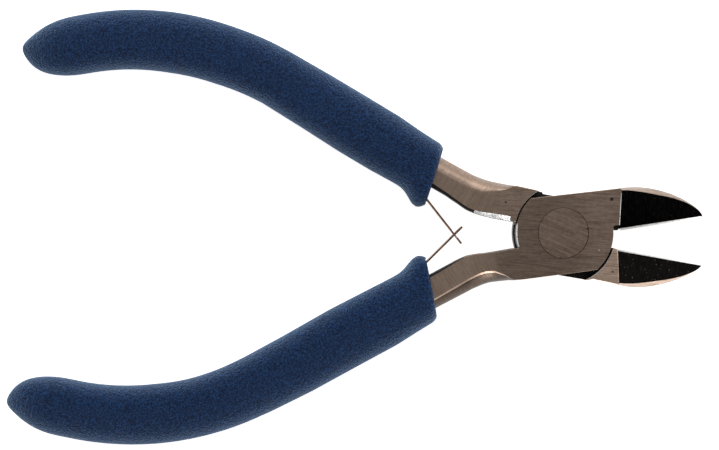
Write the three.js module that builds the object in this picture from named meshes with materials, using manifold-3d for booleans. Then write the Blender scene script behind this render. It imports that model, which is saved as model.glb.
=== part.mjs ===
// Mini diagonal cutting pliers: two forged halves crossing at a riveted lap joint, two leaf springs
// that hook into each other between the handles, and two soft sleeve grips.
//
// Units are millimetres. The origin lies on the pivot axis, in the plane of the joint's back face.
// +X runs along the tool towards the jaws, +Z along the pivot axis towards the front face.
//
// Both halves are drawn lying in the closed tool, with the handle on the -Y side. The front half is
// then turned open by half the opening angle, and the rear half is drawn mirrored and turned back.

import * as THREE from 'three';
import Module from 'manifold-3d';
import { mergeVertices } from 'three/addons/utils/BufferGeometryUtils.js';
import { ParametricGeometry } from 'three/addons/geometries/ParametricGeometry.js';

const wasm = await Module();
wasm.setup();

// ---- Driving dimensions ---------------------------------------------------------------------

const halfOpening = THREE.MathUtils.degToRad(9.23);

const jointThickness = 7.6;
const midZ = jointThickness / 2;
const layerGap = 0.1;

const headRadius = 4.15;
const shankRadius = 2.5;
const headRim = 0.25;
const headDepth = 1.6;
const rivetClearance = 0.08;

// The handle's centre line: straight out of the joint, a small elbow, straight, a long bow, straight.
const handleStart = new THREE.Vector2(-7.6, -3.9);
const handleRuns = [
  { length: 5.4, turn: 0 },
  { length: 4.716, turn: 19.45 },
  { length: 37.16, turn: 0 },
  { length: 31.16, turn: -39.45 },
  { length: 14.13, turn: 0 },
];

const tangThickness = 5.4;
const tangEnd = 78;
const thinningStart = -9.5;
const thinningEnd = -16;
const tangRoot = 1.5;
const gripHalfThickness = 4.5;
const slantFade = 9;
const flangeHeight = 1.22;
const flangeSetback = 1.4;
const flangeSpread = 1.8;
const socketGap = 0.35;

const leafThickness = 0.3;
const leafWidth = 4;
const leafOffset = 2.97;
const leafBaseLength = 7.5;
const flexGap = 0.2;
const springRivetRadius = 0.8;
const springRivetHead = 1.3;
const springRivetShank = 2;
const springRivetClearance = 0.1;

// The two halves differ a little in outline, and the two leaves in how they hook together. Each
// half has the radii of its own round plate, and of the recess that the other half's plate turns in:
// against the tang, against the jaw, and behind the half's own plate. A step is a run of points where
// the lower layer of a half stands a little out of line with the ground plate above it.
const front = {
  name: 'front',
  side: 1,
  plateRadius: { handle: 7.85, jaw: 8.25 },
  recessRadius: { tang: 8.45, jaw: 8.35, plate: 8.75 },
  tip: [23.65, -0.92],
  spineControls: [[23.63, 1.31], [16.97, 6.29]],
  spineStart: [10.29, 5.93],
  topY: 6.47,
  topStep: [],
  bottomY: -6.84,
  bottomStep: [],
  rootY: -1.33,
  heel: [[8.22, -0.7], [8.9, -0.9], [9.5, -0.75], [9.95, -1.03]],
  cutY: -1.03,
  landY: -0.68,
  landHeight: 0.45,
  facetTopY: 5.5,
  heelX: 9.43,
  heelLean: 0.21,
  tang: [
    [0, 2.57, 2.72], [3, 2.5, 2.55], [5.4, 2.47, 2.47], [8.1, 2.8, 2.68], [10.2, 2.75, 2.73],
    [60, 2.5, 2.45], [tangEnd, 1.9, 1.8],
  ],
  mouth: 15.6,
  mouthSlant: 0.31,
  grip: [
    [15.6, 5.2, 4.5], [20, 5.25, 4.74], [25, 5.33, 5.06], [32, 5.42, 5.12], [41, 5.16, 5.24],
    [50, 5.06, 4.98], [60, 4.72, 5.12], [66, 4.7, 5.22], [79, 4.2, 5.4],
  ],
  gripTail: 91,
  flexAt: 20.4,
  leafAngle: 36.2,
  leafReach: 14.9,
};
const rear = {
  name: 'rear',
  side: -1,
  plateRadius: { handle: 8.1, jaw: 8.05 },
  recessRadius: { tang: 8.05, jaw: 8.55, plate: 8.6 },
  tip: [23.92, 1.16],
  spineControls: [[23.9, 2.48], [16.16, 7.88]],
  spineStart: [10.3, 6.8],
  topY: 7.03,
  topStep: [[5.2, 7.0], [6.1, 6.65]],
  bottomY: -5.85,
  bottomStep: [[-4.35, -6.13], [-4.2, -5.86]],
  rootY: -0.45,
  heel: [[8.0, 1.0], [8.6, 1.0], [9.1, 1.07]],
  cutY: 1.07,
  landY: 1.33,
  landHeight: 0.35,
  facetTopY: 6.74,
  heelX: 9.08,
  heelLean: 0.215,
  tang: [
    [0, 3.51, 2.4], [4, 3.5, 2.49], [6.8, 3.32, 2.6], [8.1, 3.18, 2.64], [9.5, 2.85, 2.61],
    [12, 2.62, 2.58], [60, 2.5, 2.45], [tangEnd, 1.9, 1.8],
  ],
  mouth: 15.2,
  mouthSlant: 0.206,
  grip: [
    [15.2, 5, 4.45], [20, 5.03, 4.68], [25, 5.1, 5.1], [31, 4.96, 5.28], [38, 4.56, 5.45],
    [46, 4.2, 5.53], [55, 4.6, 5.34], [64, 4.66, 5.42], [72, 4.5, 5.4], [81, 4.42, 5.3],
  ],
  gripTail: 89.1,
  flexAt: 18.65,
  leafAngle: 41.9,
  leafReach: 13.7,
};

// ---- Materials ------------------------------------------------------------------------------

function finish(name, color, roughness, metalness) {
  return new THREE.MeshStandardMaterial({ name, color, roughness, metalness });
}

const forgedSteel = finish('forged_steel', 0x7d7068, 0.42, 0.9);
const rivetSteel = finish('rivet_steel', 0x877a71, 0.42, 0.9);
const springSteel = finish('spring_steel', 0x6e5646, 0.42, 0.9);
const gripVinyl = finish('grip_vinyl', 0x24427a, 0.72, 0);

// ---- Solids and booleans --------------------------------------------------------------------

function toSolid(geometry) {
  const bare = geometry.clone();
  bare.deleteAttribute('normal');
  bare.deleteAttribute('uv');
  const merged = mergeVertices(bare, 1e-4);
  const index = merged.getIndex().array;
  const corners = [];
  for (let i = 0; i < index.length; i += 3) {
    const [a, b, c] = [index[i], index[i + 1], index[i + 2]];
    if (a !== b && b !== c && c !== a) corners.push(a, b, c);
  }
  return new wasm.Manifold(new wasm.Mesh({
    numProp: 3,
    vertProperties: new Float32Array(merged.getAttribute('position').array),
    triVerts: new Uint32Array(corners),
  }));
}

function toGeometry(solid) {
  const mesh = solid.getMesh();
  const geometry = new THREE.BufferGeometry();
  geometry.setAttribute('position', new THREE.BufferAttribute(new Float32Array(mesh.vertProperties), 3));
  geometry.setIndex(new THREE.BufferAttribute(new Uint32Array(mesh.triVerts), 1));
  geometry.computeVertexNormals();
  return geometry;
}

function namedMesh(name, geometry, material) {
  const mesh = new THREE.Mesh(geometry, material);
  mesh.name = name;
  return mesh;
}

function extrude(shape, lowZ, highZ, curveSegments = 12) {
  const depth = highZ - lowZ;
  const geometry = new THREE.ExtrudeGeometry(shape, { depth, bevelEnabled: false, curveSegments });
  return geometry.translate(0, 0, lowZ);
}

// ---- The handle's centre line ---------------------------------------------------------------

// The point at a distance along the centre line and an offset towards the other handle.
function handlePoint(distance, offset) {
  const point = handleStart.clone();
  let heading = Math.PI;
  let left = distance;
  for (const run of handleRuns) {
    const step = Math.min(left, run.length);
    if (step <= 0) break;
    const bend = THREE.MathUtils.degToRad(run.turn) * step / run.length;
    const chord = bend === 0 ? step : step * Math.sin(bend / 2) / (bend / 2);
    point.x += chord * Math.cos(heading + bend / 2);
    point.y += chord * Math.sin(heading + bend / 2);
    heading += bend;
    left -= step;
  }
  point.x += offset * Math.sin(heading);
  point.y -= offset * Math.cos(heading);
  return { x: point.x, y: point.y, heading };
}

function widthsAt(stations, distance) {
  let k = 1;
  while (k < stations.length - 1 && stations[k][0] < distance) k += 1;
  const [a, b] = [stations[k - 1], stations[k]];
  const t = THREE.MathUtils.clamp((distance - a[0]) / (b[0] - a[0]), 0, 1);
  return { inner: THREE.MathUtils.lerp(a[1], b[1], t), outer: THREE.MathUtils.lerp(a[2], b[2], t) };
}

// Distances where an outline along the handle needs a point: more in the two bends than between.
function handleDistances(start, end) {
  const marks = [0, tangRoot, 3, 5.4, 6.8, 8.1, 9.2, 10.2, 15, 28, 40, 47.3, 52, 57, 62, 67, 72, tangEnd];
  return [start, ...marks.filter((mark) => mark > start + 0.4 && mark < end - 0.4), end];
}

// ---- Forged halves --------------------------------------------------------------------------

// The half seen from the front: spine, plate edge, inner side of the tang, outer side, plate, heel.
function halfOutline(half) {
  const shape = new THREE.Shape();
  const [c1, c2] = half.spineControls;
  shape.moveTo(half.tip[0], half.side * half.tip[1]);
  shape.bezierCurveTo(c1[0], half.side * c1[1], c2[0], half.side * c2[1],
    half.spineStart[0], half.side * half.spineStart[1]);

  half.topStep.toReversed().forEach(([x, y]) => shape.lineTo(x, half.side * y));

  const plateArc = (radius, from, to, count) => {
    for (let i = 0; i <= count; i += 1) {
      const angle = from + (to - from) * i / count;
      shape.lineTo(radius * Math.cos(angle), half.side * radius * Math.sin(angle));
    }
  };
  const backRadius = half.plateRadius.handle;
  const topAngle = Math.PI - Math.asin(half.topY / backRadius);
  const rootAngle = Math.PI - Math.asin(half.rootY / backRadius);
  plateArc(backRadius, topAngle, rootAngle, 14);

  const edge = (distance, sign) => {
    const widths = widthsAt(half.tang, distance);
    const point = handlePoint(distance, sign > 0 ? widths.inner : -widths.outer);
    shape.lineTo(point.x, half.side * point.y);
  };
  handleDistances(tangRoot, tangEnd).forEach((distance) => edge(distance, 1));
  handleDistances(0, tangEnd).reverse().forEach((distance) => edge(distance, -1));

  half.bottomStep.forEach(([x, y]) => shape.lineTo(x, half.side * y));

  const heelAngle = Math.atan2(half.heel[0][1], half.heel[0][0]);
  plateArc(half.plateRadius.jaw, Math.asin(half.bottomY / half.plateRadius.jaw), heelAngle, 12);
  half.heel.slice(1).forEach(([x, y]) => shape.lineTo(x, half.side * y));
  shape.closePath();
  return shape;
}

// Seen from the side: full thickness at the joint and jaws, thinner along the tang.
function sideProfile() {
  const thin = (jointThickness - tangThickness) / 2;
  const beyond = 100;
  const outline = [
    [beyond, 0], [thinningStart, 0], [thinningEnd, thin], [-beyond, thin],
    [-beyond, jointThickness - thin], [thinningEnd, jointThickness - thin], [thinningStart, jointThickness],
    [beyond, jointThickness],
  ];
  const shape = new THREE.Shape(outline.map(([x, z]) => new THREE.Vector2(x, z)));
  return extrude(shape, -40, 40).rotateX(Math.PI / 2);
}

// The ground bevel on one face of the jaw: a small steep land at the edge, then the wide facet.
function facetCutter(half, facing) {
  const beyond = 3;
  const length = 20;
  const edgeHeight = 0.03;
  const heelMiddleY = 0.15;
  const slope = (midZ - half.landHeight) / (half.facetTopY - half.landY);
  const section = [
    [half.cutY - beyond, -edgeHeight],
    [half.cutY, edgeHeight],
    [half.landY, half.landHeight],
    [half.facetTopY + beyond, midZ + beyond * slope],
    [half.facetTopY + beyond, midZ + 4 * beyond],
    [half.cutY - beyond, midZ + 4 * beyond],
  ];
  const shape = new THREE.Shape(section.map(([y, z]) => new THREE.Vector2(half.side * y, facing * z)));
  const lean = new THREE.Matrix4().makeShear(0, 0, half.side * half.heelLean, 0, 0, 0);
  const geometry = extrude(shape, 0, length).applyMatrix4(new THREE.Matrix4().makeBasis(
    new THREE.Vector3(0, 1, 0), new THREE.Vector3(0, 0, 1), new THREE.Vector3(1, 0, 0)));
  return geometry.applyMatrix4(lean).translate(half.heelX - half.heelLean * heelMiddleY, 0, midZ);
}

// Half profile of the pivot rivet or, with a clearance, of the hole that it fills.
function rivetGeometry(clearance, overrun) {
  const outline = [
    [0, -overrun],
    [headRadius + clearance, -overrun],
    [headRadius + clearance, headRim],
    [shankRadius + clearance, headDepth],
    [shankRadius + clearance, jointThickness - headDepth],
    [headRadius + clearance, jointThickness - headRim],
    [headRadius + clearance, jointThickness + overrun],
    [0, jointThickness + overrun],
  ];
  const profile = outline.map(([radius, height]) => new THREE.Vector2(radius, height));
  return new THREE.LatheGeometry(profile, 48).rotateX(Math.PI / 2);
}

// The round recess, in the back of the front half or the front of the rear half.
function recessCutter(half) {
  const { tang, jaw, plate } = half.recessRadius;
  const points = [];
  const arc = (radius, from, to) => {
    for (let degrees = from; degrees <= to; degrees += 5) {
      const angle = THREE.MathUtils.degToRad(degrees);
      points.push(new THREE.Vector2(radius * Math.cos(angle), half.side * radius * Math.sin(angle)));
    }
  };
  arc(jaw, -90, 90);
  arc(plate, 95, 180);
  arc(tang, 180, 265);
  const floor = midZ + half.side * layerGap / 2;
  const open = midZ - half.side * (midZ + 1);
  return extrude(new THREE.Shape(points), Math.min(floor, open), Math.max(floor, open));
}

function springRivetHole(half) {
  const depth = 3;
  const seat = handlePoint(half.flexAt + leafBaseLength / 2, leafOffset - depth / 2);
  const radius = springRivetRadius + springRivetClearance;
  const hole = new THREE.CylinderGeometry(radius, radius, depth, 20);
  return hole.rotateZ(half.side * (seat.heading - Math.PI)).translate(seat.x, half.side * seat.y, midZ);
}

function forgedHalf(half) {
  const solid = toSolid(extrude(halfOutline(half), 0, jointThickness, 14))
    .intersect(toSolid(sideProfile()))
    .subtract(toSolid(recessCutter(half)))
    .subtract(toSolid(facetCutter(half, 1)))
    .subtract(toSolid(facetCutter(half, -1)))
    .subtract(toSolid(rivetGeometry(rivetClearance, 1)))
    .subtract(toSolid(springRivetHole(half)));
  return namedMesh(`${half.name}_half`, toGeometry(solid), forgedSteel);
}

function pivotRivet() {
  return namedMesh('pivot_rivet', rivetGeometry(0, 0), rivetSteel);
}

// ---- Leaf springs ---------------------------------------------------------------------------

// A flat strip from a plan of (distance along the leaf, width), standing on edge in the tool.
function leafStrip(shape) {
  return extrude(shape, -leafThickness / 2, leafThickness / 2).rotateX(Math.PI / 2);
}

function stripShape(halfWidths) {
  const upper = halfWidths.map(([x, width]) => new THREE.Vector2(x, width));
  const lower = [...halfWidths].reverse().map(([x, width]) => new THREE.Vector2(x, -width));
  return new THREE.Shape([...lower, ...upper]);
}

function placeAlongHandle(mesh, half, distance, offset, degrees) {
  const point = handlePoint(distance, offset);
  mesh.position.set(point.x, half.side * point.y, midZ);
  mesh.rotation.z = half.side * THREE.MathUtils.degToRad(degrees);
  return mesh;
}

function tangDirection() {
  return handleRuns[1].turn;
}

function springBase(half, name) {
  const shape = stripShape([[-leafBaseLength, leafWidth / 2], [-flexGap, leafWidth / 2]]);
  const radius = springRivetRadius + springRivetClearance;
  const hole = new THREE.Path().absarc(-leafBaseLength / 2, 0, radius, 0, 2 * Math.PI);
  shape.holes.push(hole);
  const mesh = namedMesh(`${name}_base`, leafStrip(shape), springSteel);
  return placeAlongHandle(mesh, half, half.flexAt, leafOffset, tangDirection());
}

// The slotted leaf of the front half.
function slottedBlade(half, name) {
  const [slotStart, slotEnd, slotHalf] = [12.1, 14.2, 1.0];
  const [chamfer, endHalf] = [0.5, 1.5];
  const shape = stripShape([
    [flexGap, leafWidth / 2], [half.leafReach - chamfer, leafWidth / 2], [half.leafReach, endHalf],
  ]);
  const slot = new THREE.Path();
  slot.moveTo(slotStart, -slotHalf).lineTo(slotEnd, -slotHalf).lineTo(slotEnd, slotHalf);
  slot.lineTo(slotStart, slotHalf);
  shape.holes.push(slot);
  const mesh = namedMesh(`${name}_blade`, leafStrip(shape), springSteel);
  return placeAlongHandle(mesh, half, half.flexAt, leafOffset, half.leafAngle);
}

// The tongued leaf of the rear half: its narrow neck stands in the slot, its T-shaped end beyond it.
function tonguedBlade(half, name) {
  const [neckStart, neckEnd, neckHalf, headHalf] = [11.2, 12.7, 0.6, 1.5];
  const shape = stripShape([
    [flexGap, leafWidth / 2], [neckStart, leafWidth / 2], [neckStart, neckHalf],
    [neckEnd, neckHalf], [neckEnd, headHalf], [half.leafReach, headHalf],
  ]);
  const mesh = namedMesh(`${name}_blade`, leafStrip(shape), springSteel);
  return placeAlongHandle(mesh, half, half.flexAt, leafOffset, half.leafAngle);
}

function springRivet(half, name) {
  const [headBottom, headEdge, headTop] = [0.3, 0.6, 0.85];
  const outline = [
    [0, -springRivetShank],
    [springRivetRadius, -springRivetShank],
    [springRivetRadius, headBottom],
    [springRivetHead, headBottom],
    [springRivetHead, headEdge],
    [springRivetHead / 2, headTop],
    [0, headTop],
  ];
  const profile = outline.map(([radius, height]) => new THREE.Vector2(radius, height));
  const geometry = new THREE.LatheGeometry(profile, 20);
  if (half.side < 0) geometry.rotateZ(Math.PI);
  const mesh = namedMesh(`${name}_rivet`, geometry, rivetSteel);
  return placeAlongHandle(mesh, half, half.flexAt + leafBaseLength / 2, leafOffset, tangDirection());
}

// ---- Grips ----------------------------------------------------------------------------------

// Outer skin of a grip. u runs round the section, v from the middle of the mouth to the tail.
function gripSkin(half) {
  const stacks = 42;
  const squareness = 2 / 2.4;
  const power = (value) => Math.sign(value) * Math.abs(value) ** squareness;
  const tailRounding = 9.5;
  const tailSwing = 1.2;
  const skin = (u, v, target) => {
    const row = Math.round(v * stacks);
    const along = Math.sin(Math.PI / 2 * Math.max(0, row - 1) / (stacks - 1));
    const distance = THREE.MathUtils.lerp(half.mouth, half.gripTail, along);
    const tail = Math.max(0, 1 - (half.gripTail - distance) / tailRounding);
    const round = row === 0 || row === stacks ? 0 : (1 - tail ** 2.1) ** 0.57;
    const flange = flangeHeight * Math.exp(-(((distance - half.mouth - flangeSetback) / flangeSpread) ** 2));
    const widths = widthsAt(half.grip, distance);
    const angle = 2 * Math.PI * u;
    const reach = Math.cos(angle) > 0 ? widths.inner + flange : widths.outer;
    const sideways = power(Math.cos(angle)) * reach * round - tailSwing * tail ** 8;
    const upwards = power(Math.sin(angle)) * gripHalfThickness * round;
    const slant = half.mouthSlant * sideways * Math.max(0, 1 - (distance - half.mouth) / slantFade);
    const point = handlePoint(distance - slant, sideways);
    target.set(point.x, half.side * point.y, midZ + upwards);
  };
  const geometry = new ParametricGeometry(skin, 24, stacks);
  if (half.side > 0) geometry.index.array.reverse();
  return geometry;
}

// Room for the tang inside the grip.
function socketCutter(half) {
  const points = [];
  const distances = handleDistances(6, tangEnd + 1);
  const edge = (distance, sign) => {
    const widths = widthsAt(half.tang, distance);
    const point = handlePoint(distance, sign > 0 ? widths.inner + socketGap : -widths.outer - socketGap);
    points.push(new THREE.Vector2(point.x, half.side * point.y));
  };
  distances.forEach((distance) => edge(distance, 1));
  [...distances].reverse().forEach((distance) => edge(distance, -1));
  const halfHeight = tangThickness / 2 + socketGap;
  return extrude(new THREE.Shape(points), midZ - halfHeight, midZ + halfHeight);
}

// Room for the leaf spring: along the tang, and flaring towards the mouth where the leaf swings.
function springCutter(half) {
  const corners = [[6, 2], [6, 8], [13.4, 6.1], [22, 3.95], [30, 3.95], [30, 2]];
  const points = corners.map(([distance, offset]) => {
    const point = handlePoint(distance, offset);
    return new THREE.Vector2(point.x, half.side * point.y);
  });
  const halfHeight = leafWidth / 2 + 0.4;
  return extrude(new THREE.Shape(points), midZ - halfHeight, midZ + halfHeight);
}

function grip(half, name) {
  const solid = toSolid(gripSkin(half))
    .subtract(toSolid(socketCutter(half)))
    .subtract(toSolid(springCutter(half)));
  return namedMesh(name, toGeometry(solid), gripVinyl);
}

// ---- Assembly -------------------------------------------------------------------------------

const frontGroup = new THREE.Group();
frontGroup.rotation.z = halfOpening;
frontGroup.add(
  forgedHalf(front),
  pivotRivet(),
  springBase(front, 'lower_spring'),
  slottedBlade(front, 'lower_spring'),
  springRivet(front, 'lower_spring'),
  grip(front, 'lower_grip'),
);

const rearGroup = new THREE.Group();
rearGroup.rotation.z = -halfOpening;
rearGroup.add(
  forgedHalf(rear),
  springBase(rear, 'upper_spring'),
  tonguedBlade(rear, 'upper_spring'),
  springRivet(rear, 'upper_spring'),
  grip(rear, 'upper_grip'),
);

const pliers = new THREE.Group();
pliers.add(frontGroup, rearGroup);

export default pliers;
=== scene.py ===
"""Looks of the diagonal cutting pliers: ground and forged steel, leaf springs and vinyl sleeves.

Shapes are worked out in millimetres. Each half is drawn in a layout of the closed tool with its
handle on the -Y side, and is then mirrored if it is the rear one, turned open and scaled to metres.
"""

import math
from collections import namedtuple

import bmesh
import bpy
from mathutils import Matrix, Vector, noise


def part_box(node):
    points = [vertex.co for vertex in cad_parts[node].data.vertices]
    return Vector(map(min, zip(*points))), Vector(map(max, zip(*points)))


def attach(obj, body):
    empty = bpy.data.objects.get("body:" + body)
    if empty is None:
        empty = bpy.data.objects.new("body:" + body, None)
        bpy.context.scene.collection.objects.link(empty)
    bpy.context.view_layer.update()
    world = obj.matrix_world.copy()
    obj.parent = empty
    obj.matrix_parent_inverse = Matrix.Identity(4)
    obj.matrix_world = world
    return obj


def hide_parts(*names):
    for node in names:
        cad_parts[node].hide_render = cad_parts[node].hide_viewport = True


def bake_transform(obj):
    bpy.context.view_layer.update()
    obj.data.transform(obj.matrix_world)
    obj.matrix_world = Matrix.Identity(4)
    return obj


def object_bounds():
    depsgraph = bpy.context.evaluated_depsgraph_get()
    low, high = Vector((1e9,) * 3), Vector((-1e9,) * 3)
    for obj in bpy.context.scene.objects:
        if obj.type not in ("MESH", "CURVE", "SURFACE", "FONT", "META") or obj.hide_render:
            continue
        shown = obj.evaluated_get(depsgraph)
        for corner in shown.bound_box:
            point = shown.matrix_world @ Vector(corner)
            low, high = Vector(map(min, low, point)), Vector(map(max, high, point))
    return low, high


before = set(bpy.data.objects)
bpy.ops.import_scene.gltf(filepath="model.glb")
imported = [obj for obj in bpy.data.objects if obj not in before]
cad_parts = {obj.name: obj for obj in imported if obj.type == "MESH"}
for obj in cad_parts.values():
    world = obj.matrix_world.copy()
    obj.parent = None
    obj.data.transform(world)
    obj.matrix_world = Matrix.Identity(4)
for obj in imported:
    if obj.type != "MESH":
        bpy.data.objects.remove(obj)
cad_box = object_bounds()

# ---- Sizes --------------------------------------------------------------------------------------

MM = 0.001
HALF_OPENING = math.radians(9.23)

rivet_low, rivet_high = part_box("pivot_rivet")
THICKNESS = (rivet_high.z - rivet_low.z) / MM
MID_Z = THICKNESS / 2
LAYER_GAP = 0.1

HEAD_RADIUS = 4.15
SHANK_RADIUS = 2.5
HEAD_RIM = 0.25
HEAD_DEPTH = 1.6
HEAD_GAP = 0.05

# The handle's centre line as (length, turn in degrees): straight, elbow, straight, long bow, straight.
HANDLE_START = (-7.6, -3.9)
HANDLE_RUNS = [(5.4, 0), (4.716, 19.45), (37.16, 0), (31.16, -39.45), (14.13, 0)]
TANG_DIRECTION = HANDLE_RUNS[1][1]
TANG_THICKNESS = 5.4
TANG_END = 78
THINNING = (-9.2, -16.3)

GRIP_HALF_THICKNESS = 4.5
GRIP_SQUARENESS = 2.4
LIP_START_DEGREES = 20
LIP_LENGTH = 1.4
LIP_DROP = 0.75
INNER_LIP = 0.45
MOUTH_SLANT_FADE = 9
FLANGE_SETBACK = 1.4
FLANGE_SPREAD = 1.8
TAIL_ROUNDING = 9.5
TAIL_POWERS = (2.1, 0.57)
TAIL_SWING = 1.2
TAIL_SWING_POWER = 8
SOCKET_GAP = 0.1

LEAF_THICKNESS = 0.3
LEAF_WIDTH = 4
LEAF_OFFSET = 2.97
LEAF_BASE = 7.5
LEAF_BEND = 1.2
NECK_START = 11.2
NECK_END = 12.9
SLOT_START = 12.1
SLOT_BAR = 0.45
TIP_STEP = 0.2

DARK_MARK = (0.05, 0.035, 0.028)
BRASS_MARK = (1.0, 0.72, 0.42)

# A half's tables are by distance along its handle:
#   tang: half widths towards the other handle and away from it
#   shoulder: how far the outer side rounds over; inner_rim: width of the bevel on the inner side
#   grip: the sleeve's half widths towards the other handle and away from it
# tones are (x in the layout, brightness); marks are (place, reach, colour) in millimetres.

FRONT = {
    "side": 1,
    "plate": {"handle": 7.85, "jaw": 8.25},
    "throat_bevel": 0.24,
    "recess": {"tang": 8.45, "jaw": 8.35, "plate": 8.75},
    "tip": (23.65, -0.92),
    "spine_controls": [(23.63, 1.31), (16.97, 6.29)],
    "spine_start": (10.29, 5.93),
    "top": 6.47,
    "top_step": [],
    "bottom": -6.84,
    "bottom_step": [],
    "root": -1.33,
    "heel": [(8.22, -0.7), (8.9, -0.9), (9.5, -0.75), (9.95, -1.03)],
    "cut": -1.03,
    "land": -0.68,
    "land_height": 0.45,
    "facet_top": 5.5,
    "heel_x": 9.43,
    "heel_lean": 0.21,
    "tang": [
        (0, 2.57, 2.72), (3, 2.5, 2.55), (5.4, 2.47, 2.47), (8.1, 2.8, 2.68), (10.2, 2.75, 2.73),
        (60, 2.5, 2.45), (78, 1.9, 1.8),
    ],
    "crest": 50,
    # Colour scales on the rounded outer side: painted shade on the shoulder, a painted highlight on its
    # crest
    "shoulder_painted_shade": 0.24,
    "crest_painted_highlight": 1.7,
    "shoulder": [(1.3, 0.12), (2.05, 0.5), (3.4, 1.25), (4.5, 1.85), (6.3, 2.05), (9.8, 1.9), (16, 1.6)],
    "inner_rim": [(0, 0.1), (8.2, 0.1), (9.2, 0.14), (11, 0.26), (13, 0.36), (16, 0.4), (78, 0.4)],
    "tones": [(-12, 1.0), (-10, 0.7), (-4, 0.64), (0, 0.66), (6, 0.84)],
    # Darkens the near-black facets further: painted shade
    "facet_painted_shade": 0.75,
    "marks": [((7.9, 5.7, THICKNESS), 0.3, DARK_MARK), ((5.9, -2.75, THICKNESS), 0.13, BRASS_MARK)],
    "mouth": 15.6,
    "mouth_slant": 0.31,
    "grip": [
        (15.6, 5.2, 4.5), (20, 5.25, 4.74), (25, 5.33, 5.06), (32, 5.42, 5.12), (41, 5.16, 5.24),
        (50, 5.06, 4.98), (60, 4.72, 5.12), (66, 4.7, 5.22), (79, 4.2, 5.4),
    ],
    "grip_tail": 91,
    "flange": 1.25,
    "flex": 20.4,
    "leaf_angle": 36.2,
    "leaf_reach": 14.9,
}
REAR = {
    "side": -1,
    "plate": {"handle": 8.1, "jaw": 8.05},
    "throat_bevel": 0.1,
    "recess": {"tang": 8.05, "jaw": 8.55, "plate": 8.6},
    "tip": (23.92, 1.16),
    "spine_controls": [(23.9, 2.48), (16.16, 7.88)],
    "spine_start": (10.3, 6.8),
    "top": 7.03,
    "top_step": [(5.2, 7.0), (6.1, 6.65)],
    "bottom": -5.85,
    "bottom_step": [(-4.35, -6.13), (-4.2, -5.86)],
    "root": -0.45,
    "heel": [(8.0, 1.0), (8.6, 1.0), (9.1, 1.07)],
    "cut": 1.07,
    "land": 1.33,
    "land_height": 0.35,
    "facet_top": 6.74,
    "heel_x": 9.08,
    "heel_lean": 0.215,
    "tang": [
        (0, 3.51, 2.4), (4, 3.5, 2.49), (6.8, 3.32, 2.6), (8.1, 3.18, 2.64), (9.5, 2.85, 2.61),
        (12, 2.62, 2.58), (60, 2.5, 2.45), (78, 1.9, 1.8),
    ],
    "crest": 87,
    # Colour scales on the rounded outer side: painted shade on the shoulder, a painted highlight on its
    # crest
    "shoulder_painted_shade": 0.78,
    "crest_painted_highlight": 1.15,
    "shoulder": [(1.2, 0.12), (3.6, 1.2), (6.5, 2.1), (16, 2.5)],
    "inner_rim": [
        (0, 0.8), (4.5, 0.78), (6.5, 0.5), (8.3, 0.38), (10, 0.38), (12, 0.44), (15, 0.66), (78, 0.6),
    ],
    "tones": [(-16, 1.0), (-10, 0.92), (-4, 0.92), (3, 1.0), (7, 1.6)],
    # Darkens the near-black facets further: painted shade
    "facet_painted_shade": 0.3,
    "marks": [((-9.6, 4.95, THICKNESS), 0.18, DARK_MARK), ((8.2, -6.3, THICKNESS), 0.16, DARK_MARK)],
    "mouth": 15.2,
    "mouth_slant": 0.206,
    "grip": [
        (15.2, 5, 4.45), (20, 5.03, 4.68), (25, 5.1, 5.1), (31, 4.96, 5.28), (38, 4.56, 5.45),
        (46, 4.2, 5.53), (55, 4.6, 5.34), (64, 4.66, 5.42), (72, 4.5, 5.4), (81, 4.42, 5.3),
    ],
    "grip_tail": 89.1,
    "flange": 1.65,
    "flex": 18.65,
    "leaf_angle": 41.9,
    "leaf_reach": 14.05,
}

# Material slots of a forged half: ground steel; near-black facets as a painted dark reflection; near-black
# walls as painted shade; a painted highlight on lands and thin bevels; a painted-shade copy of the ground
# steel on the rounded shoulder and a painted-highlight copy on its edges.
GROUND, FACET, WALL, PAINTED_HIGHLIGHT, SHOULDER, CREST = range(6)

# ---- Small helpers ------------------------------------------------------------------------------


def lerp(a, b, t):
    return a + (b - a) * t


def smoothstep(low, high, value):
    t = min(max((value - low) / (high - low), 0), 1)
    return t * t * (3 - 2 * t)


def along_table(rows, distance):
    """The values of a table of (distance, value, ...) rows at a distance along the handle."""
    if distance <= rows[0][0]:
        return rows[0][1:]
    for a, b in zip(rows, rows[1:]):
        if distance <= b[0]:
            t = (distance - a[0]) / (b[0] - a[0])
            return tuple(lerp(low, high, t) for low, high in zip(a[1:], b[1:]))
    return rows[-1][1:]


def handle_point(distance, offset):
    """A point at a distance along the handle and an offset towards the other handle, with its heading."""
    x, y = HANDLE_START
    heading = math.pi
    left = distance
    for length, turn in HANDLE_RUNS:
        step = min(left, length)
        if step <= 0:
            break
        bend = math.radians(turn) * step / length
        chord = step * math.sin(bend / 2) / (bend / 2) if bend else step
        x += chord * math.cos(heading + bend / 2)
        y += chord * math.sin(heading + bend / 2)
        heading += bend
        left -= step
    return x + offset * math.sin(heading), y - offset * math.cos(heading), heading


def bezier(points, t):
    """A point on a cubic curve."""
    weights = ((1 - t) ** 3, 3 * t * (1 - t) ** 2, 3 * t * t * (1 - t), t ** 3)
    return tuple(sum(w * p[axis] for w, p in zip(weights, points)) for axis in (0, 1))


def half_thickness(x):
    """Half the steel's thickness: full at the joint and jaws, thinner along the tang."""
    return lerp(THICKNESS, TANG_THICKNESS, smoothstep(-THINNING[0], -THINNING[1], -x)) / 2


def in_place(half):
    """From a half's layout in millimetres to the row frame in metres."""
    turn = Matrix.Rotation(half["side"] * HALF_OPENING, 4, "Z")
    return turn @ Matrix.Diagonal((MM, half["side"] * MM, MM, 1))


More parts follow.
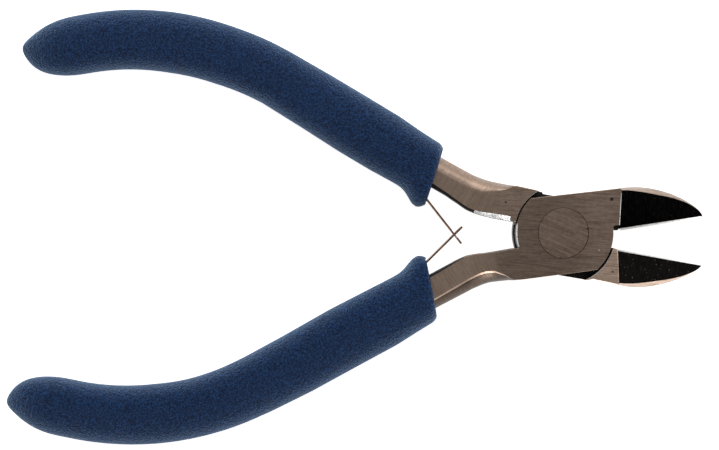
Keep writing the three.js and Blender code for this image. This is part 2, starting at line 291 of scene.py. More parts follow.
def mesh_object(name, vertices, faces, slots=None):
    """A new object from points in millimetres, with outward faces."""
    mesh = bpy.data.meshes.new(name)
    mesh.from_pydata(vertices, [], faces)
    if slots:
        mesh.polygons.foreach_set("material_index", slots)
    work = bmesh.new()
    work.from_mesh(mesh)
    bmesh.ops.recalc_face_normals(work, faces=work.faces)
    work.to_mesh(mesh)
    work.free()
    made = bpy.data.objects.new(name, mesh)
    bpy.context.scene.collection.objects.link(made)
    return made


def rings_to_object(name, rings, slot_of=None):
    """A skin over rings of equally many points, each ring closed on itself."""
    size = len(rings[0])
    vertices = [point for ring in rings for point in ring]
    faces = []
    slots = []
    for row in range(len(rings) - 1):
        here, above = row * size, (row + 1) * size
        for k in range(size):
            after = (k + 1) % size
            faces.append((here + k, here + after, above + after, above + k))
            slots.append(slot_of(row, k) if slot_of else 0)
    faces.append(tuple(range(size)))
    faces.append(tuple((len(rings) - 1) * size + k for k in range(size)))
    slots += [0, 0]
    return mesh_object(name, vertices, faces, slots)


def prism(name, outline, low, high, slot_of=None):
    """A straight prism over an outline of (x, y) points between two heights."""
    rings = [[(x, y, z) for x, y in outline] for z in (low, high)]
    return rings_to_object(name, rings, slot_of=slot_of)


def lathe(name, profile, segments, slot_of=None):
    """A solid of revolution about Z. The profile's (radius, height) points start and end on the axis."""
    low, high = profile[0][1], profile[-1][1]
    vertices = [(0, 0, low), (0, 0, high)]
    rings = profile[1:-1]
    for radius, height in rings:
        for k in range(segments):
            angle = 2 * math.pi * k / segments
            vertices.append((radius * math.cos(angle), radius * math.sin(angle), height))
    faces = []
    slots = []
    for k in range(segments):
        after = (k + 1) % segments
        faces.append((0, 2 + after, 2 + k))
        slots.append(slot_of(0) if slot_of else 0)
        for row in range(len(rings) - 1):
            here, above = 2 + row * segments, 2 + (row + 1) * segments
            faces.append((here + k, here + after, above + after, above + k))
            slots.append(slot_of(row + 1) if slot_of else 0)
        top = 2 + (len(rings) - 1) * segments
        faces.append((1, top + k, top + after))
        slots.append(slot_of(len(rings)) if slot_of else 0)
    return mesh_object(name, vertices, faces, slots)


def dress(piece, materials):
    for material in materials:
        piece.data.materials.append(material)


def carve(target, cutters):
    """Cuts each cutter out of the target in turn, and removes it. Cut faces keep their material slots."""
    for cutter in cutters:
        dress(cutter, target.data.materials)
        modifier = target.modifiers.new("carve", "BOOLEAN")
        modifier.operation = "DIFFERENCE"
        modifier.solver = "EXACT"
        modifier.object = cutter
        bpy.context.view_layer.update()
        carved = target.evaluated_get(bpy.context.evaluated_depsgraph_get())
        mesh = bpy.data.meshes.new_from_object(carved)
        target.modifiers.clear()
        target.data = mesh
        bpy.data.objects.remove(cutter)
    return target


def settle(piece, half, body, slot, *nodes, sharp=15):
    """Puts a finished piece in the row frame, shades it and hands it to its body."""
    place = in_place(half) if half else Matrix.Scale(MM, 4)
    piece.data.transform(place)
    if place.determinant() < 0:
        piece.data.flip_normals()
    piece.data.shade_smooth()
    piece.data.set_sharp_from_angle(angle=math.radians(sharp))
    weighted = piece.modifiers.new("normals", "WEIGHTED_NORMAL")
    weighted.keep_sharp = True
    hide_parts(*nodes)
    if body:
        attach(piece, body)
    return piece


# ---- Shader helpers -----------------------------------------------------------------------------


def add(tree, kind, inputs=None, **settings):
    """Adds a shader node. inputs maps a socket's name or number to a value or another node's output."""
    made = tree.nodes.new("ShaderNode" + kind)
    for key, value in settings.items():
        setattr(made, key, value)
    for key, value in (inputs or {}).items():
        socket = made.inputs[key]
        if isinstance(value, bpy.types.NodeSocket):
            tree.links.new(value, socket)
        else:
            socket.default_value = value
    return made


def new_material(name):
    """A material with a Principled shader, its node tree and that shader."""
    material = bpy.data.materials.new(name)
    material.use_nodes = True
    tree = material.node_tree
    return material, tree, tree.nodes["Principled BSDF"]


def millimetres(tree, degrees=0, stretch=(1, 1, 1)):
    """The place on the piece in millimetres, turned about Z and stretched."""
    place = add(tree, "TexCoord").outputs["Object"]
    angle = math.radians(degrees)
    turned = add(tree, "VectorRotate", {"Vector": place, "Angle": angle}, rotation_type="Z_AXIS").outputs[0]
    scale = [s / MM for s in stretch]
    return add(tree, "VectorMath", {0: turned, 1: scale}, operation="MULTIPLY").outputs[0]


def noise_at(tree, vector, scale, detail=2.0, roughness=0.5, distortion=0.0):
    made = add(tree, "TexNoise", {"Vector": vector, "Scale": scale, "Detail": detail,
                                  "Roughness": roughness, "Distortion": distortion})
    return made.outputs["Fac"]


def remap(tree, value, low, high, to_low=0.0, to_high=1.0):
    made = add(tree, "MapRange", {"Value": value, "From Min": low, "From Max": high,
                                  "To Min": to_low, "To Max": to_high})
    return made.outputs["Result"]


def combine(tree, a, b, operation="MULTIPLY"):
    return add(tree, "Math", {0: a, 1: b}, operation=operation).outputs[0]


def blend_colour(tree, factor, low, high):
    made = add(tree, "Mix", data_type="RGBA")
    for socket, value in ((made.inputs["Factor"], factor), (made.inputs[6], low), (made.inputs[7], high)):
        if isinstance(value, bpy.types.NodeSocket):
            tree.links.new(value, socket)
        else:
            socket.default_value = (*value, 1) if isinstance(value, tuple) else value
    return made.outputs[2]


def bump(tree, height, distance, strength=1.0, normal=None):
    inputs = {"Height": height, "Distance": distance * MM, "Strength": strength}
    if normal:
        inputs["Normal"] = normal
    return add(tree, "Bump", inputs).outputs["Normal"]


# ---- Materials ----------------------------------------------------------------------------------


def streaky(tree, degrees, across):
    """Fine grinding streaks along a direction, with broader bands and a little mottling."""
    streaks = noise_at(tree, millimetres(tree, degrees, (0.3, across, 1)), 1.0, 3.0, 0.7)
    broad = noise_at(tree, millimetres(tree, degrees, (0.08, 0.7, 0.7)), 1.0, 2.0)
    mottle = noise_at(tree, millimetres(tree), 1.6, 4.0, 0.7)
    mixed = combine(tree, combine(tree, streaks, 0.62), combine(tree, broad, 0.12), "ADD")
    return combine(tree, mixed, combine(tree, mottle, 0.26), "ADD")


def spot(tree, centre, reach):
    """The share, from 0 to 1, of a small mark with an uneven edge round a place in millimetres."""
    ragged = noise_at(tree, millimetres(tree), 3.0, 2.0)
    away = add(tree, "VectorMath", {0: millimetres(tree), 1: centre}, operation="DISTANCE")
    away = away.outputs["Value"]
    away = combine(tree, away, combine(tree, ragged, reach), "ADD")
    return remap(tree, away, reach * 1.1, reach * 1.8, 1.0, 0.0)


def tone_along(tree, layout_x, tones):
    """Brightness by the place along a half, from a few (x, brightness) points. A curve holds half of it."""
    start, end = -24, 12
    curve = add(tree, "FloatCurve", {"Value": remap(tree, layout_x, start, end)})
    points = curve.mapping.curves[0].points
    points[0].location = (0, tones[0][1] / 2)
    points[1].location = (1, tones[-1][1] / 2)
    for x, brightness in tones:
        points.new((x - start) / (end - start), brightness / 2)
    curve.mapping.update()
    return combine(tree, curve.outputs[0], 2.0)


def ground_steel(name, plate_degrees, half=None, tint=1.0, marks=()):
    """Ground steel: streaks one way on the plate and, on a half, across the tang behind it."""
    material, tree, shader = new_material(name)
    mixed = streaky(tree, plate_degrees, 6)
    tone = None
    if half:
        turn = -math.degrees(HALF_OPENING) * half["side"]
        layout_x = add(tree, "SeparateXYZ", {0: millimetres(tree, turn)}).outputs["X"]
        wobble = noise_at(tree, millimetres(tree), 0.8, 2.0)
        layout_x = combine(tree, layout_x, wobble, "ADD")
        on_plate = remap(tree, layout_x, -12.2, -10.4)
        tang = streaky(tree, turn + 90 - TANG_DIRECTION * half["side"], 5.5)
        tang = remap(tree, tang, 0.0, 1.0, 0.22, 0.78)
        mixed = add(tree, "Mix", {"Factor": on_plate, 2: tang, 3: mixed}, data_type="FLOAT").outputs[0]
        tone = tone_along(tree, layout_x, half["tones"])
    # tint scales the colour: a real tone change on the rivet, painted shade on a half's shoulder copy and a
    # painted highlight on its crest copy
    dark = tuple(tint * v for v in (0.24, 0.168, 0.126))
    light = tuple(tint * v for v in (0.5, 0.375, 0.298))
    colour = blend_colour(tree, remap(tree, mixed, 0.38, 0.62), dark, light)
    if tone:
        colour = add(tree, "VectorMath", {0: colour, 3: tone}, operation="SCALE").outputs[0]
    for centre, reach, mark_colour in marks:
        colour = blend_colour(tree, spot(tree, centre, reach), colour, mark_colour)
    tree.links.new(colour, shader.inputs["Base Color"])
    tree.links.new(remap(tree, mixed, 0.3, 0.7, 0.46, 0.32), shader.inputs["Roughness"])
    tree.links.new(bump(tree, mixed, 0.03, 0.7), shader.inputs["Normal"])
    shader.inputs["Metallic"].default_value = 1.0
    return material


def black_steel(name, tone=1.0):
    """Near-black steel, dull and slightly pitted, as painted shade on the side walls, far inner bevels,
    recesses, pockets and holes that it lines.
    """
    material, tree, shader = new_material(name)
    pits = noise_at(tree, millimetres(tree), 3.0, 4.0, 0.7)
    low = tuple(tone * v for v in (0.008, 0.007, 0.007))
    high = tuple(tone * v for v in (0.035, 0.03, 0.028))
    colour = blend_colour(tree, remap(tree, pits, 0.35, 0.75), low, high)
    tree.links.new(colour, shader.inputs["Base Color"])
    tree.links.new(remap(tree, pits, 0.3, 0.7, 0.4, 0.6), shader.inputs["Roughness"])
    tree.links.new(bump(tree, pits, 0.03, 0.5), shader.inputs["Normal"])
    shader.inputs["Metallic"].default_value = 0.6
    return material


def facet_steel(name, degrees, tone):
    """The hard, finely ground cutting facets: near black as a painted dark reflection in their polish, with
    faint grinding lines and a few specks.
    """
    material, tree, shader = new_material(name)
    lines = noise_at(tree, millimetres(tree, degrees, (0.5, 5, 1)), 1.0, 3.0, 0.65)
    specks = noise_at(tree, millimetres(tree), 5.5, 2.0, 0.5)
    dust = remap(tree, specks, 0.72, 0.76)
    # tone darkens the facet further: painted shade
    dark = tuple(tone * v for v in (0.004, 0.0035, 0.0035))
    light = tuple(tone * v for v in (0.02, 0.0165, 0.016))
    colour = blend_colour(tree, remap(tree, lines, 0.35, 0.8), dark, light)
    colour = blend_colour(tree, dust, colour, (0.35, 0.28, 0.22))
    tree.links.new(colour, shader.inputs["Base Color"])
    tree.links.new(remap(tree, lines, 0.3, 0.7, 0.25, 0.4), shader.inputs["Roughness"])
    tree.links.new(bump(tree, lines, 0.015, 0.5), shader.inputs["Normal"])
    shader.inputs["Metallic"].default_value = 1.0
    return material


def painted_highlight_steel(name):
    """Near-white steel as a painted highlight on the narrow lands, chamfers and thin bevels, broken by small
    dark specks.
    """
    material, tree, shader = new_material(name)
    highlight_specks = noise_at(tree, millimetres(tree), 3.5, 4.0, 0.7)
    colour = blend_colour(tree, remap(tree, highlight_specks, 0.36, 0.44), (0.2, 0.18, 0.17), (0.97, 0.96, 0.95))
    tree.links.new(colour, shader.inputs["Base Color"])
    tree.links.new(bump(tree, highlight_specks, 0.06, 0.6), shader.inputs["Normal"])
    shader.inputs["Roughness"].default_value = 0.35
    shader.inputs["Metallic"].default_value = 1.0
    return material


def spring_steel(name):
    """Tempered spring strip with a brown cast."""
    material, tree, shader = new_material(name)
    cloud = noise_at(tree, millimetres(tree), 0.9, 3.0, 0.6)
    colour = blend_colour(tree, remap(tree, cloud, 0.35, 0.65), (0.16, 0.075, 0.035), (0.36, 0.20, 0.11))
    tree.links.new(colour, shader.inputs["Base Color"])
    tree.links.new(remap(tree, cloud, 0.3, 0.7, 0.28, 0.42), shader.inputs["Roughness"])
    tree.links.new(bump(tree, noise_at(tree, millimetres(tree, 0, (1, 1, 6)), 1.5, 2.0), 0.01, 0.4),
                   shader.inputs["Normal"])
    shader.inputs["Metallic"].default_value = 1.0
    return material


def grip_vinyl(name):
    """Matte navy vinyl with a fine leather grain."""
    material, tree, shader = new_material(name)
    place = millimetres(tree)
    bend = add(tree, "TexNoise", {"Vector": place, "Scale": 0.9, "Detail": 2.0})
    warped = add(tree, "VectorMath", {0: place, 1: bend.outputs["Color"]}, operation="ADD").outputs[0]
    cells = add(tree, "TexVoronoi", {"Vector": warped, "Scale": 1.9, "Randomness": 1.0},
                feature="SMOOTH_F1").outputs["Distance"]
    fine = noise_at(tree, place, 3.6, 3.0, 0.65)
    patches = noise_at(tree, place, 0.12, 3.0, 0.6)
    grain = combine(tree, combine(tree, cells, -0.6), combine(tree, fine, 1.2), "ADD")
    colour = blend_colour(tree, remap(tree, fine, 0.44, 0.6), (0.0005, 0.007, 0.034), (0.013, 0.074, 0.24))
    worn = blend_colour(tree, remap(tree, patches, 0.35, 0.7), (0.006, 0.029, 0.094), (0.0026, 0.02, 0.072))
    tint = blend_colour(tree, 0.3, colour, worn)
    tree.links.new(tint, shader.inputs["Base Color"])
    tree.links.new(remap(tree, grain, 0.1, 0.8, 0.7, 0.45), shader.inputs["Roughness"])
    tree.links.new(bump(tree, grain, 0.3, 1.0), shader.inputs["Normal"])
    shader.inputs["Specular IOR Level"].default_value = 0.22
    shader.inputs["Sheen Weight"].default_value = 0.85
    shader.inputs["Sheen Roughness"].default_value = 0.32
    shader.inputs["Sheen Tint"].default_value = (0.45, 0.7, 1.0, 1)
    return material


# ---- Forged halves ------------------------------------------------------------------------------

Edge = namedtuple("Edge", "x y rim shoulder bulge slot")
RIM_STEPS = 8
PROFILE = 3 * RIM_STEPS + 1
BEVEL_FROM = 0.12
BEVEL_STEEPNESS = 0.85
# Inner bevels further along the tang than this x are near-black painted shade, nearer the joint a painted
# highlight.
BLACK_BEVEL_FROM = -15.2
ROUNDED_FROM = 0.3
ACROSS = 8


def side_profile(edge, crest):
    """Points (inward offset, height share) up one side, from the lower face to the upper one."""
    points = []
    for k in range(PROFILE):
        t = 2 * k / (PROFILE - 1) - 1
        height = half_thickness(edge.x)
        angle = math.radians(crest) * t
        round_offset = edge.shoulder * (1 - math.cos(angle)) / (1 - math.cos(math.radians(crest)))
        round_height = math.sin(angle) / math.sin(math.radians(crest))
        corner = max(abs(t) - 1 / 3, 0) * 1.5
        rim_angle = corner * math.pi / 2
        rim_offset = edge.rim * (1 - math.cos(rim_angle))
        drop = edge.rim / height
        rise = math.sin(rim_angle)
        if edge.slot == WALL and edge.rim > BEVEL_FROM:
            drop *= BEVEL_STEEPNESS
            rim_offset = edge.rim * corner
            rise = corner
        rim_height = (1 - drop) * min(abs(t) * 3, 1) + drop * rise
        rim_height = math.copysign(rim_height, t)
        share = smoothstep(0.1, 0.9, edge.shoulder)
        offset = lerp(rim_offset, round_offset, share)
        level = lerp(rim_height, round_height, share)
        offset += edge.bulge * (level * height) ** 2
        points.append((offset, level * height))
    return points


def straight_edge(start, end, **shape):
    return lambda t: Edge(lerp(start[0], end[0], t), lerp(start[1], end[1], t), **shape)


def polyline(points, **shape):
    """Edges along a run of points, as a function of the share of the way along it."""
    steps = [math.dist(a, b) for a, b in zip(points, points[1:])]

    def edge(t):
        left = t * sum(steps)
        for k, step in enumerate(steps):
            if left <= step or k == len(steps) - 1:
                return straight_edge(points[k], points[k + 1], **shape)(left / step)
            left -= step
    return edge


def half_boundaries(half):
    """The inner and the outer boundary of a half from the tang's end to the jaw's tip, as matched Edges."""
    plain = {"rim": 0.1, "shoulder": 0, "bulge": 0, "slot": WALL}

    def inner_tang(distance):
        x, y, _ = handle_point(distance, along_table(half["tang"], distance)[0])
        return Edge(x, y, along_table(half["inner_rim"], distance)[0], 0, 0, WALL)

    def outer_tang(distance):
        x, y, _ = handle_point(distance, -along_table(half["tang"], distance)[1])
        return Edge(x, y, 0.1, along_table(half["shoulder"], distance)[0], 0, GROUND)

    back, jaw = half["plate"]["handle"], half["plate"]["jaw"]
    root_angle = math.pi - math.asin(half["root"] / back)
    top_angle = math.pi - math.asin(half["top"] / back)
    jaw_start = math.asin(half["bottom"] / jaw)
    heel_angle = math.atan2(half["heel"][0][1], half["heel"][0][0])
    root = (back * math.cos(root_angle), half["root"])
    shoulder = (back * math.cos(top_angle), half["top"])
    belly = (jaw * math.cos(jaw_start), half["bottom"])
    tang_start = 1.5
    inner_start, outer_start = inner_tang(tang_start), outer_tang(0)
    spine = [half["spine_start"], half["spine_controls"][1], half["spine_controls"][0], half["tip"]]

    def spine_edge(t):
        x, y = bezier(spine, t)
        return Edge(x, y, 0.06, 0, min(0.02 + 0.0135 * max(x - half["spine_start"][0], 0), 0.11), GROUND)

    def arc(radius, start, end):
        def point(t):
            angle = lerp(start, end, t)
            x, y = radius * math.cos(angle), radius * math.sin(angle)
            return Edge(x, y, lerp(0.1, half["throat_bevel"], smoothstep(7.3, 7.6, -x)), 0, 0, WALL)
        return point

    heel = half["heel"]
    belly_line = polyline([outer_start[:2], *half["bottom_step"], belly], **plain)
    top_line = polyline([shoulder, *half["top_step"], half["spine_start"]], **plain)
    bottom = [belly_line(t)[:2] for t in (0.1, 0.45)]
    top = [top_line(t)[:2] for t in (0.5, 0.82, 0.92)]

    def part_of(line, start, end):
        return lambda t: line(lerp(start, end, t))
    past_heel = [lerp(heel[-1][axis], half["tip"][axis], 0.06) for axis in (0, 1)]

    def outer_root(t):
        if t < 0.5:
            return outer_tang(tang_start * (1 - 2 * t))
        return straight_edge(outer_start, bottom[0], **plain)(2 * t - 1)

    runs = [
        (
            150,
            lambda t: inner_tang(lerp(TANG_END, tang_start, t)),
            lambda t: outer_tang(lerp(TANG_END, tang_start, t)),
        ),
        (6, straight_edge(inner_start, root, **plain), outer_root),
        (60, arc(back, root_angle, top_angle), part_of(belly_line, 0.1, 0.45)),
        (12, part_of(top_line, 0, 0.5), part_of(belly_line, 0.45, 1)),
        (40, part_of(top_line, 0.5, 0.82), arc(jaw, jaw_start, heel_angle)),
    ]
    corners = len(heel) - 1
    for k in range(corners):
        above = [[lerp(top[1][axis], top[2][axis], (k + j) / corners) for axis in (0, 1)] for j in (0, 1)]
        runs.append((2, straight_edge(*above, **plain), straight_edge(heel[k], heel[k + 1], **plain)))
    # Both sides stop just short of the tip, so that the last section keeps a little width.
    spine_share, cutting_share = 0.985, 0.996
    cutting_edge = straight_edge(past_heel, half["tip"], **plain)
    runs += [
        (
            4,
            straight_edge(top[2], half["spine_start"], **plain),
            straight_edge(heel[-1], past_heel, **plain),
        ),
        (60, lambda t: spine_edge(spine_share * t), lambda t: cutting_edge(cutting_share * t)),
    ]

    inner, outer = [], []
    for count, upper, lower in runs:
        for k in range(0 if not inner else 1, count + 1):
            inner.append(upper(k / count))
            outer.append(lower(k / count))
    return inner, outer


def inward(edges, turn):
    """Inward mitre vectors along a boundary; turn is 1 if inward is to the left of the way along it."""
    vectors = []
    for k, edge in enumerate(edges):
        sides = []
        for a, b in ((k - 1, k), (k, k + 1)):
            if 0 <= a and b < len(edges):
                way = Vector((edges[b].x - edges[a].x, edges[b].y - edges[a].y))
                if way.length > 1e-6:
                    way.normalize()
                    sides.append(Vector((-way.y, way.x)) * turn)
        mean = sum(sides, Vector((0, 0))).normalized()
        vectors.append(mean / max(mean.dot(sides[0]), 0.5))
    return vectors


def forging(half, name):
    """A half before its cuts: sections across it, from the tang's end to the jaw's tip."""
    inner, outer = half_boundaries(half)
    rings = []
    for up, up_in, low, low_in in zip(inner, inward(inner, -1), outer, inward(outer, 1)):
        width = math.hypot(up.x - low.x, up.y - low.y)
        sides = []
        for edge, way, crest in ((up, up_in, 80), (low, low_in, half["crest"])):
            side = []
            for offset, height in side_profile(edge, crest):
                shift = min(offset, 0.45 * width)
                side.append(Vector((edge.x + way.x * shift, edge.y + way.y * shift, MID_Z + height)))
            sides.append(side)
        first, second = sides
        ring = list(first)
        for k in range(1, ACROSS):
            ring.append(first[-1].lerp(second[-1], k / ACROSS))
        ring += reversed(second)
        for k in range(1, ACROSS):
            ring.append(second[0].lerp(first[0], k / ACROSS))
        rings.append(ring)

    last = PROFILE - 2

    def slot_of(row, k):
        over = k - (PROFILE - 1) - ACROSS
        # The rounded outer side takes the painted-shade steel, its first and last rows the painted-highlight
        # steel.
        if 0 <= over <= last and outer[row].shoulder > ROUNDED_FROM:
            return CREST if over in (0, last) else SHOULDER
        if k < PROFILE - 1 and RIM_STEPS <= k < 2 * RIM_STEPS:
            return inner[row].slot
        # Wider inner bevels, the throat's among them, take the painted highlight near the joint and
        # near-black painted shade further along the tang.
        if k < PROFILE - 1 and inner[row].rim > BEVEL_FROM:
            return PAINTED_HIGHLIGHT if inner[row].x > BLACK_BEVEL_FROM else WALL
        if RIM_STEPS <= over < 2 * RIM_STEPS:
            return outer[row].slot
        return GROUND

    return rings_to_object(name, rings, slot_of=slot_of)


def facet_cutter(half, facing):
    """Cuts the land and the wide facet on one face of the jaw, up to the heel wall."""
    beyond = 3
    slope = (MID_Z - half["land_height"]) / (half["facet_top"] - half["land"])
    section = [
        (half["cut"] - beyond, -0.03),
        (half["cut"], 0.03),
        (half["land"], half["land_height"]),
        (half["facet_top"] + beyond, MID_Z + beyond * slope),
        (half["facet_top"] + beyond, MID_Z + 4 * beyond),
        (half["cut"] - beyond, MID_Z + 4 * beyond),
    ]
    rings = []
    for x in (half["heel_x"], half["heel_x"] + 20):
        rings.append([(x + half["heel_lean"] * (y - 0.15), y, MID_Z + facing * z) for y, z in section])
    # The land takes the painted highlight and the facet its near-black painted reflection; the face beyond
    # the cutting edge takes near-black painted shade.
    slots = (WALL, PAINTED_HIGHLIGHT, FACET, GROUND, GROUND, GROUND)
    return rings_to_object("facet_cutter", rings, slot_of=lambda row, k: slots[k])


def heel_bevel(half, facing):
    """Breaks the sharp edge at the top of the heel wall."""
    size = 0.15
    over = 0.05
    # On the front half this bevel carries the painted highlight.
    slot = PAINTED_HIGHLIGHT if half["side"] > 0 else GROUND
    rings = []
    for y in (half["cut"] - 1, half["facet_top"] - 0.35):
        x = half["heel_x"] + half["heel_lean"] * (y - 0.15)
        section = [(-size, over), (over, over), (over, -size)]
        rings.append([(x + across, y, MID_Z + facing * (MID_Z + up)) for across, up in section])
    return rings_to_object("heel_bevel", rings, slot_of=lambda row, k: slot)


def heel_pocket(facing):
    """The small notch between the plate and the foot of the cutting edge, lined with near-black steel as
    painted shade.
    """
    corners = [(8.3, -0.1), (8.95, -0.02), (9.75, -0.1), (9.75, -2), (8.3, -2)]
    pocket = prism("heel_pocket", corners, *sorted((MID_Z + facing * 1.9, MID_Z + facing * 5)))
    for face in pocket.data.polygons:
        face.material_index = WALL
    return pocket


def recess_cutter(half):
    """The round recess that the other half's plate turns in, with a slightly broken upper edge."""
    arcs = (("jaw", -90, 92), ("plate", 94, 178), ("tang", 180, 268))
    facing = -half["side"]
    floor = MID_Z - facing * LAYER_GAP / 2
    face = MID_Z + facing * MID_Z
    chamfer = 0.12
    levels = [
        (floor, 0),
        (face - facing * chamfer, 0),
        (face + facing * 0.02, chamfer),
        (face + facing, chamfer),
    ]
    rings = []
    for z, wider in levels:
        ring = []
        for name, start, end in arcs:
            radius = half["recess"][name] + wider
            for degrees in range(start, end + 1, 2):
                angle = math.radians(degrees)
                ring.append((radius * math.cos(angle), radius * math.sin(angle), z))
        rings.append(ring)
    # The chamfer row takes the painted highlight; the recess floor and walls take near-black painted shade.
    cutter = rings_to_object("recess_cutter", rings, slot_of=lambda row, k: PAINTED_HIGHLIGHT if row == 1 else WALL)
    for face_made in cutter.data.polygons:
        if len(face_made.vertices) > 4:
            face_made.material_index = WALL
    return cutter


def rivet_profile(gap, overrun):
    """Half profile of the pivot rivet, or of the hole that it fills when given a gap."""
    edge = 0.0 if overrun else 0.05
    lower = [
        (0, -overrun),
        (HEAD_RADIUS + gap - edge, -overrun),
        (HEAD_RADIUS + gap, edge - overrun),
        (HEAD_RADIUS + gap, HEAD_RIM),
        (SHANK_RADIUS + gap, HEAD_DEPTH),
    ]
    if overrun:
        del lower[2]
    return lower + [(radius, THICKNESS - height) for radius, height in reversed(lower)]


def forged_half(half, name, body, node, materials):
    """A forged half with its recess, facets, heel, rivet hole and spring rivet's hole."""
    piece = forging(half, name)
    dress(piece, materials)
    # The hole's walls take near-black painted shade, seen as the dark gap round the rivet head.
    hole = lathe("hole", rivet_profile(HEAD_GAP, 1), 96, slot_of=lambda row: WALL)
    seat = handle_point(half["flex"] + LEAF_BASE / 2, 1.6)
    spring_hole = lathe("spring_hole", [(0, -2), (0.9, -2), (0.9, 2), (0, 2)], 24)
    spring_hole.data.transform(
        Matrix.Translation((seat[0], seat[1], MID_Z))
        @ Matrix.Rotation(seat[2] - math.pi, 4, "Z") @ Matrix.Rotation(math.pi / 2, 4, "X"))
    cutters = [recess_cutter(half)]
    for facing in (1, -1):
        cutters += [facet_cutter(half, facing), heel_bevel(half, facing)]
    if half["side"] > 0:
        cutters += [heel_pocket(1), heel_pocket(-1)]
    carve(piece, [*cutters, hole, spring_hole])
    return settle(piece, half, body, "forged_steel", node)


def pivot_rivet(material):
    piece = lathe("rivet", rivet_profile(0, 0), 96)
    piece.data.transform(Matrix.Rotation(HALF_OPENING, 4, "Z"))
    dress(piece, [material])
    return settle(piece, None, "front_lever", "rivet_steel", "pivot_rivet")


# ---- Leaf springs -------------------------------------------------------------------------------


def leaf_path(half, s):
    """Place and direction on a leaf at a distance from its flex point: along the tang, then bent inwards."""
    x, y, _ = handle_point(half["flex"], LEAF_OFFSET)
    first, last = math.radians(TANG_DIRECTION), math.radians(half["leaf_angle"])
    steps = 24
    for k in range(steps):
        middle = s * (k + 0.5) / steps
        angle = lerp(first, last, smoothstep(-LEAF_BEND / 2, LEAF_BEND / 2, middle))
        x += s / steps * math.cos(angle)
        y += s / steps * math.sin(angle)
    return x, y, lerp(first, last, smoothstep(-LEAF_BEND / 2, LEAF_BEND / 2, s))


def leaf_spring(half, name, cells, highlight_span, materials, nodes):
    """One spring strip on edge. cells(s, w) says whether the strip has metal at s along it and w across.

    The strip's sheared edges carry the painted highlight between two given places along it, and are brown
    elsewhere."""
    marks = [-LEAF_BASE, -6, -4.5, -3, -1.8, -1.2, -0.8, -0.4, 0, 0.4, 0.8, 1.2, 2, 3.5, 5, 6.5, 8, 9.5]
    marks += [NECK_START, SLOT_START, NECK_END]
    marks += [half["leaf_reach"] - rest for rest in (SLOT_BAR, TIP_STEP, 0)]
    widths = [-2, -1.5, -1, -0.6, 0, 0.6, 1, 1.5, 2]
    work = bmesh.new()
    points = {}

    def vertex(i, j, side):
        key = (i, j, side)
        if key not in points:
            x, y, angle = leaf_path(half, marks[i])
            shift = side * LEAF_THICKNESS / 2
            place = (x - shift * math.sin(angle), y + shift * math.cos(angle), MID_Z + widths[j])
            points[key] = work.verts.new(place)
        return points[key]

    def metal(i, j):
        if not (0 <= i < len(marks) - 1 and 0 <= j < len(widths) - 1):
            return False
        return cells((marks[i] + marks[i + 1]) / 2, (widths[j] + widths[j + 1]) / 2)

    for i in range(len(marks) - 1):
        for j in range(len(widths) - 1):
            if not metal(i, j):
                continue
            for side in (-1, 1):
                work.faces.new([vertex(i, j, side), vertex(i + 1, j, side),
                                vertex(i + 1, j + 1, side), vertex(i, j + 1, side)])
            borders = [((i, j), (i + 1, j), (i, j - 1)), ((i, j + 1), (i + 1, j + 1), (i, j + 1)),
                       ((i, j), (i, j + 1), (i - 1, j)), ((i + 1, j), (i + 1, j + 1), (i + 1, j))]
            for a, b, beyond in borders:
                if not metal(*beyond):
                    edge = work.faces.new([vertex(*a, -1), vertex(*b, -1), vertex(*b, 1), vertex(*a, 1)])
                    # Edge faces between the two given places take the painted-highlight steel.
                    edge.material_index = 1 if highlight_span[0] < (marks[i] + marks[i + 1]) / 2 < highlight_span[1] else 0
    bmesh.ops.recalc_face_normals(work, faces=work.faces)
    mesh = bpy.data.meshes.new(name)
    work.to_mesh(mesh)
    work.free()
    piece = bpy.data.objects.new(name, mesh)
    bpy.context.scene.collection.objects.link(piece)
    dress(piece, materials)
    settle(piece, half, None, "spring_steel", *nodes, sharp=30)
    place = in_place(half)
    start, end = (place @ Vector((*leaf_path(half, s)[:2], MID_Z)) for s in (-LEAF_BEND, LEAF_BEND))
    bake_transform(piece)
    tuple(start)
    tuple(end)
    return piece


def spring_rivet(half, name, material, body, node):
    """The small domed rivet that holds a leaf to its tang."""
    shank, head, rise = 0.8, 1.3, 0.5
    angles = [math.radians(degrees) for degrees in range(0, 90, 12)]
    dome = [(head * math.cos(angle), 0.3 + rise * math.sin(angle)) for angle in angles]
    profile = [(0, -2), (shank, -2), (shank, 0.25), (head, 0.25), *dome, (0, 0.3 + rise)]
    piece = lathe(name, profile, 32)
    x, y, heading = handle_point(half["flex"] + LEAF_BASE / 2, LEAF_OFFSET)
    piece.data.transform(
        Matrix.Translation((x, y, MID_Z))
        @ Matrix.Rotation(heading - math.pi, 4, "Z") @ Matrix.Rotation(-math.pi / 2, 4, "X"))
    dress(piece, [material])
    return settle(piece, half, body, "rivet_steel", node, sharp=40)


# ---- Grips --------------------------------------------------------------------------------------


def grip_rows(half):
    """(distance, lip) of each ring: round the lip, along the sleeve, and closer together at the tail."""
    rows = []
    lip_count, sleeve_count, tail_count = 8, 150, 33
    lip_start = math.radians(LIP_START_DEGREES)
    for k in range(lip_count + 1):
        angle = lerp(lip_start, math.pi / 2, k / lip_count)
        behind_mouth = LIP_LENGTH * (math.cos(lip_start) - math.cos(angle))
        rows.append((half["mouth"] + behind_mouth, 1 - math.sin(angle)))
    tail_start = half["grip_tail"] - TAIL_ROUNDING
    for k in range(1, sleeve_count + 1):
        rows.append((lerp(half["mouth"] + LIP_LENGTH, tail_start, k / sleeve_count), 0))
    for k in range(1, tail_count):
        rows.append((tail_start + TAIL_ROUNDING * math.sin(math.pi / 2 * k / tail_count), 0))
    return rows


